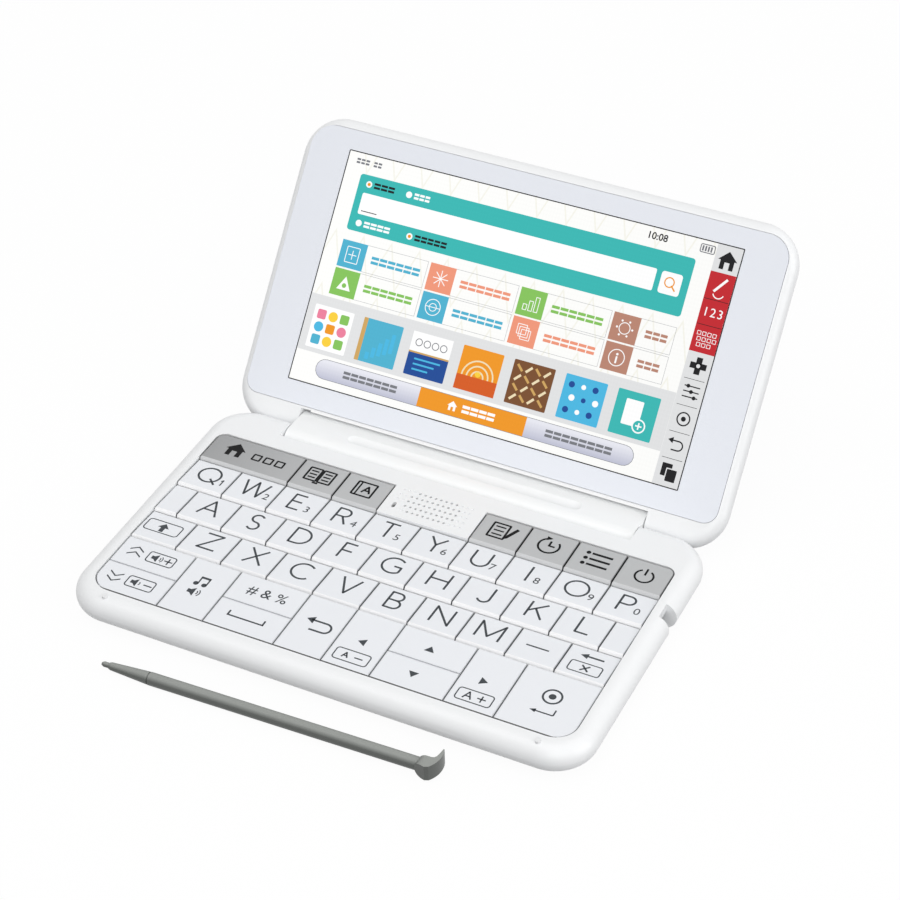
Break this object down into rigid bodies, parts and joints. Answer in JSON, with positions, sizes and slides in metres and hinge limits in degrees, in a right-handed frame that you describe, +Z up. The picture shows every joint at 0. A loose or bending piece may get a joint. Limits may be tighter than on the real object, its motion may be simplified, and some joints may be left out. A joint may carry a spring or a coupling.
{
  "type": "electronic dictionary",
  "caption": "Folding handheld electronic dictionary: a slim base with keyboard and speaker grille, a two-axis hinge block, a tilted touch display lid and a loose stylus.",
  "frame": {"origin": "centre of the base's flat underside", "axes": "+X to the user's right, +Y to the rear where the hinge is, +Z up out of the keyboard"},
  "size_m": [0.1524, 0.1677, 0.0753],
  "materials": {
    "case_white": "satin white moulded plastic",
    "hinge_white": "satin white moulded plastic",
    "letter_keys": "fine matt pale grey-blue",
    "grey_keys": "fine matt mid grey",
    "display": "glossy plate with a pale printed border over the lit picture",
    "stylus_grey": "satin grey-green",
    "inner_plastic": "plain moulded",
    "battery_wrap": "plain wrap",
    "board_green": "solder mask",
    "rubber_grey": "matt",
    "steel": "plain"
  },
  "bodies": {
    "base": {"bottom_case": "case_white", "top_case": "case_white", "battery_cover": "case_white", "battery": "battery_wrap", "circuit_board": "board_green", "key_sheet": "rubber_grey", "speaker": "battery_wrap", "stylus_silo": "inner_plastic", "rubber_pads": "rubber_grey", "case_screws": "steel"},
    "hinge": {"hinge_block": "hinge_white", "hinge_pins": "steel"},
    "lid": {"lid_back": "case_white", "lid_frame": "case_white", "display_glass": "display"},
    "stylus": {"stylus": "stylus_grey"},
    "key_home": {"key_home": "grey_keys"},
    "key_book_a": {"key_book_a": "grey_keys"},
    "key_book_b": {"key_book_b": "grey_keys"},
    "key_notes": {"key_notes": "grey_keys"},
    "key_history": {"key_history": "grey_keys"},
    "key_contents": {"key_contents": "grey_keys"},
    "key_power": {"key_power": "grey_keys"},
    "key_q": {"key_q": "letter_keys"},
    "key_w": {"key_w": "letter_keys"},
    "key_e": {"key_e": "letter_keys"},
    "key_r": {"key_r": "letter_keys"},
    "key_t": {"key_t": "letter_keys"},
    "key_y": {"key_y": "letter_keys"},
    "key_u": {"key_u": "letter_keys"},
    "key_i": {"key_i": "letter_keys"},
    "key_o": {"key_o": "letter_keys"},
    "key_p": {"key_p": "letter_keys"},
    "key_a": {"key_a": "letter_keys"},
    "key_s": {"key_s": "letter_keys"},
    "key_d": {"key_d": "letter_keys"},
    "key_f": {"key_f": "letter_keys"},
    "key_g": {"key_g": "letter_keys"},
    "key_h": {"key_h": "letter_keys"},
    "key_j": {"key_j": "letter_keys"},
    "key_k": {"key_k": "letter_keys"},
    "key_l": {"key_l": "letter_keys"},
    "key_shift": {"key_shift": "letter_keys"},
    "key_z": {"key_z": "letter_keys"},
    "key_x": {"key_x": "letter_keys"},
    "key_c": {"key_c": "letter_keys"},
    "key_v": {"key_v": "letter_keys"},
    "key_b": {"key_b": "letter_keys"},
    "key_n": {"key_n": "letter_keys"},
    "key_m": {"key_m": "letter_keys"},
    "key_dash": {"key_dash": "letter_keys"},
    "key_delete": {"key_delete": "letter_keys"},
    "key_page_rocker": {"key_page_rocker": "letter_keys"},
    "key_sound": {"key_sound": "letter_keys"},
    "key_space_rocker": {"key_space_rocker": "letter_keys"},
    "key_back": {"key_back": "letter_keys"},
    "key_left": {"key_left": "letter_keys"},
    "key_updown_rocker": {"key_updown_rocker": "letter_keys"},
    "key_right": {"key_right": "letter_keys"},
    "key_enter": {"key_enter": "letter_keys"}
  },
  "joints": [
    {"name": "base_hinge", "type": "hinge", "parent": "base", "child": "hinge", "pos_m": [0, 0.0421, 0.0044], "axis": [1, 0, 0], "range_deg": [-90, 90]},
    {"name": "lid_hinge", "type": "hinge", "parent": "hinge", "child": "lid", "pos_m": [0, 0.0507, 0.0044], "axis": [1, 0, 0], "range_deg": [-140.93, 39.07]},
    {"name": "key_home_press", "type": "slide", "parent": "base", "child": "key_home", "axis": [0, 0, -1], "range_m": [0, 0.0004], "stiffness_N_per_m": 300, "springref_m": -0.0003},
    {"name": "key_book_a_press", "type": "slide", "parent": "base", "child": "key_book_a", "axis": [0, 0, -1], "range_m": [0, 0.0004], "stiffness_N_per_m": 300, "springref_m": -0.0003},
    {"name": "key_book_b_press", "type": "slide", "parent": "base", "child": "key_book_b", "axis": [0, 0, -1], "range_m": [0, 0.0004], "stiffness_N_per_m": 300, "springref_m": -0.0003},
    {"name": "key_notes_press", "type": "slide", "parent": "base", "child": "key_notes", "axis": [0, 0, -1], "range_m": [0, 0.0004], "stiffness_N_per_m": 300, "springref_m": -0.0003},
    {"name": "key_history_press", "type": "slide", "parent": "base", "child": "key_history", "axis": [0, 0, -1], "range_m": [0, 0.0004], "stiffness_N_per_m": 300, "springref_m": -0.0003},
    {"name": "key_contents_press", "type": "slide", "parent": "base", "child": "key_contents", "axis": [0, 0, -1], "range_m": [0, 0.0004], "stiffness_N_per_m": 300, "springref_m": -0.0003},
    {"name": "key_power_press", "type": "slide", "parent": "base", "child": "key_power", "axis": [0, 0, -1], "range_m": [0, 0.0004], "stiffness_N_per_m": 300, "springref_m": -0.0003},
    {"name": "key_q_press", "type": "slide", "parent": "base", "child": "key_q", "axis": [0, 0, -1], "range_m": [0, 0.0004], "stiffness_N_per_m": 300, "springref_m": -0.0003},
    {"name": "key_w_press", "type": "slide", "parent": "base", "child": "key_w", "axis": [0, 0, -1], "range_m": [0, 0.0004], "stiffness_N_per_m": 300, "springref_m": -0.0003},
    {"name": "key_e_press", "type": "slide", "parent": "base", "child": "key_e", "axis": [0, 0, -1], "range_m": [0, 0.0004], "stiffness_N_per_m": 300, "springref_m": -0.0003},
    {"name": "key_r_press", "type": "slide", "parent": "base", "child": "key_r", "axis": [0, 0, -1], "range_m": [0, 0.0004], "stiffness_N_per_m": 300, "springref_m": -0.0003},
    {"name": "key_t_press", "type": "slide", "parent": "base", "child": "key_t", "axis": [0, 0, -1], "range_m": [0, 0.0004], "stiffness_N_per_m": 300, "springref_m": -0.0003},
    {"name": "key_y_press", "type": "slide", "parent": "base", "child": "key_y", "axis": [0, 0, -1], "range_m": [0, 0.0004], "stiffness_N_per_m": 300, "springref_m": -0.0003},
    {"name": "key_u_press", "type": "slide", "parent": "base", "child": "key_u", "axis": [0, 0, -1], "range_m": [0, 0.0004], "stiffness_N_per_m": 300, "springref_m": -0.0003},
    {"name": "key_i_press", "type": "slide", "parent": "base", "child": "key_i", "axis": [0, 0, -1], "range_m": [0, 0.0004], "stiffness_N_per_m": 300, "springref_m": -0.0003},
    {"name": "key_o_press", "type": "slide", "parent": "base", "child": "key_o", "axis": [0, 0, -1], "range_m": [0, 0.0004], "stiffness_N_per_m": 300, "springref_m": -0.0003},
    {"name": "key_p_press", "type": "slide", "parent": "base", "child": "key_p", "axis": [0, 0, -1], "range_m": [0, 0.0004], "stiffness_N_per_m": 300, "springref_m": -0.0003},
    {"name": "key_a_press", "type": "slide", "parent": "base", "child": "key_a", "axis": [0, 0, -1], "range_m": [0, 0.0004], "stiffness_N_per_m": 300, "springref_m": -0.0003},
    {"name": "key_s_press", "type": "slide", "parent": "base", "child": "key_s", "axis": [0, 0, -1], "range_m": [0, 0.0004], "stiffness_N_per_m": 300, "springref_m": -0.0003},
    {"name": "key_d_press", "type": "slide", "parent": "base", "child": "key_d", "axis": [0, 0, -1], "range_m": [0, 0.0004], "stiffness_N_per_m": 300, "springref_m": -0.0003},
    {"name": "key_f_press", "type": "slide", "parent": "base", "child": "key_f", "axis": [0, 0, -1], "range_m": [0, 0.0004], "stiffness_N_per_m": 300, "springref_m": -0.0003},
    {"name": "key_g_press", "type": "slide", "parent": "base", "child": "key_g", "axis": [0, 0, -1], "range_m": [0, 0.0004], "stiffness_N_per_m": 300, "springref_m": -0.0003},
    {"name": "key_h_press", "type": "slide", "parent": "base", "child": "key_h", "axis": [0, 0, -1], "range_m": [0, 0.0004], "stiffness_N_per_m": 300, "springref_m": -0.0003},
    {"name": "key_j_press", "type": "slide", "parent": "base", "child": "key_j", "axis": [0, 0, -1], "range_m": [0, 0.0004], "stiffness_N_per_m": 300, "springref_m": -0.0003},
    {"name": "key_k_press", "type": "slide", "parent": "base", "child": "key_k", "axis": [0, 0, -1], "range_m": [0, 0.0004], "stiffness_N_per_m": 300, "springref_m": -0.0003},
    {"name": "key_l_press", "type": "slide", "parent": "base", "child": "key_l", "axis": [0, 0, -1], "range_m": [0, 0.0004], "stiffness_N_per_m": 300, "springref_m": -0.0003},
    {"name": "key_shift_press", "type": "slide", "parent": "base", "child": "key_shift", "axis": [0, 0, -1], "range_m": [0, 0.0004], "stiffness_N_per_m": 300, "springref_m": -0.0003},
    {"name": "key_z_press", "type": "slide", "parent": "base", "child": "key_z", "axis": [0, 0, -1], "range_m": [0, 0.0004], "stiffness_N_per_m": 300, "springref_m": -0.0003},
    {"name": "key_x_press", "type": "slide", "parent": "base", "child": "key_x", "axis": [0, 0, -1], "range_m": [0, 0.0004], "stiffness_N_per_m": 300, "springref_m": -0.0003},
    {"name": "key_c_press", "type": "slide", "parent": "base", "child": "key_c", "axis": [0, 0, -1], "range_m": [0, 0.0004], "stiffness_N_per_m": 300, "springref_m": -0.0003},
    {"name": "key_v_press", "type": "slide", "parent": "base", "child": "key_v", "axis": [0, 0, -1], "range_m": [0, 0.0004], "stiffness_N_per_m": 300, "springref_m": -0.0003},
    {"name": "key_b_press", "type": "slide", "parent": "base", "child": "key_b", "axis": [0, 0, -1], "range_m": [0, 0.0004], "stiffness_N_per_m": 300, "springref_m": -0.0003},
    {"name": "key_n_press", "type": "slide", "parent": "base", "child": "key_n", "axis": [0, 0, -1], "range_m": [0, 0.0004], "stiffness_N_per_m": 300, "springref_m": -0.0003},
    {"name": "key_m_press", "type": "slide", "parent": "base", "child": "key_m", "axis": [0, 0, -1], "range_m": [0, 0.0004], "stiffness_N_per_m": 300, "springref_m": -0.0003},
    {"name": "key_dash_press", "type": "slide", "parent": "base", "child": "key_dash", "axis": [0, 0, -1], "range_m": [0, 0.0004], "stiffness_N_per_m": 300, "springref_m": -0.0003},
    {"name": "key_delete_press", "type": "slide", "parent": "base", "child": "key_delete", "axis": [0, 0, -1], "range_m": [0, 0.0004], "stiffness_N_per_m": 300, "springref_m": -0.0003},
    {"name": "key_page_rocker_tilt", "type": "hinge", "parent": "base", "child": "key_page_rocker", "pos_m": [-0.06001, -0.02945, 0.0073], "axis": [1, 0, 0], "range_deg": [-2.1, 2.1], "stiffness_Nm_per_rad": 0.02},
    {"name": "key_sound_press", "type": "slide", "parent": "base", "child": "key_sound", "axis": [0, 0, -1], "range_m": [0, 0.0004], "stiffness_N_per_m": 300, "springref_m": -0.0003},
    {"name": "key_space_rocker_tilt", "type": "hinge", "parent": "base", "child": "key_space_rocker", "pos_m": [-0.02471, -0.02945, 0.0073], "axis": [1, 0, 0], "range_deg": [-2.1, 2.1], "stiffness_Nm_per_rad": 0.02},
    {"name": "key_back_press", "type": "slide", "parent": "base", "child": "key_back", "axis": [0, 0, -1], "range_m": [0, 0.0004], "stiffness_N_per_m": 300, "springref_m": -0.0003},
    {"name": "key_left_press", "type": "slide", "parent": "base", "child": "key_left", "axis": [0, 0, -1], "range_m": [0, 0.0004], "stiffness_N_per_m": 300, "springref_m": -0.0003},
    {"name": "key_updown_rocker_tilt", "type": "hinge", "parent": "base", "child": "key_updown_rocker", "pos_m": [0.02471, -0.02945, 0.0073], "axis": [1, 0, 0], "range_deg": [-2.1, 2.1], "stiffness_Nm_per_rad": 0.02},
    {"name": "key_right_press", "type": "slide", "parent": "base", "child": "key_right", "axis": [0, 0, -1], "range_m": [0, 0.0004], "stiffness_N_per_m": 300, "springref_m": -0.0003},
    {"name": "key_enter_press", "type": "slide", "parent": "base", "child": "key_enter", "axis": [0, 0, -1], "range_m": [0, 0.0004], "stiffness_N_per_m": 300, "springref_m": -0.0003},
    {"name": "stylus_lift", "type": "slide", "parent": "base", "child": "stylus", "axis": [0, 0, 1], "range_m": [0, 0.06]}
  ]
}
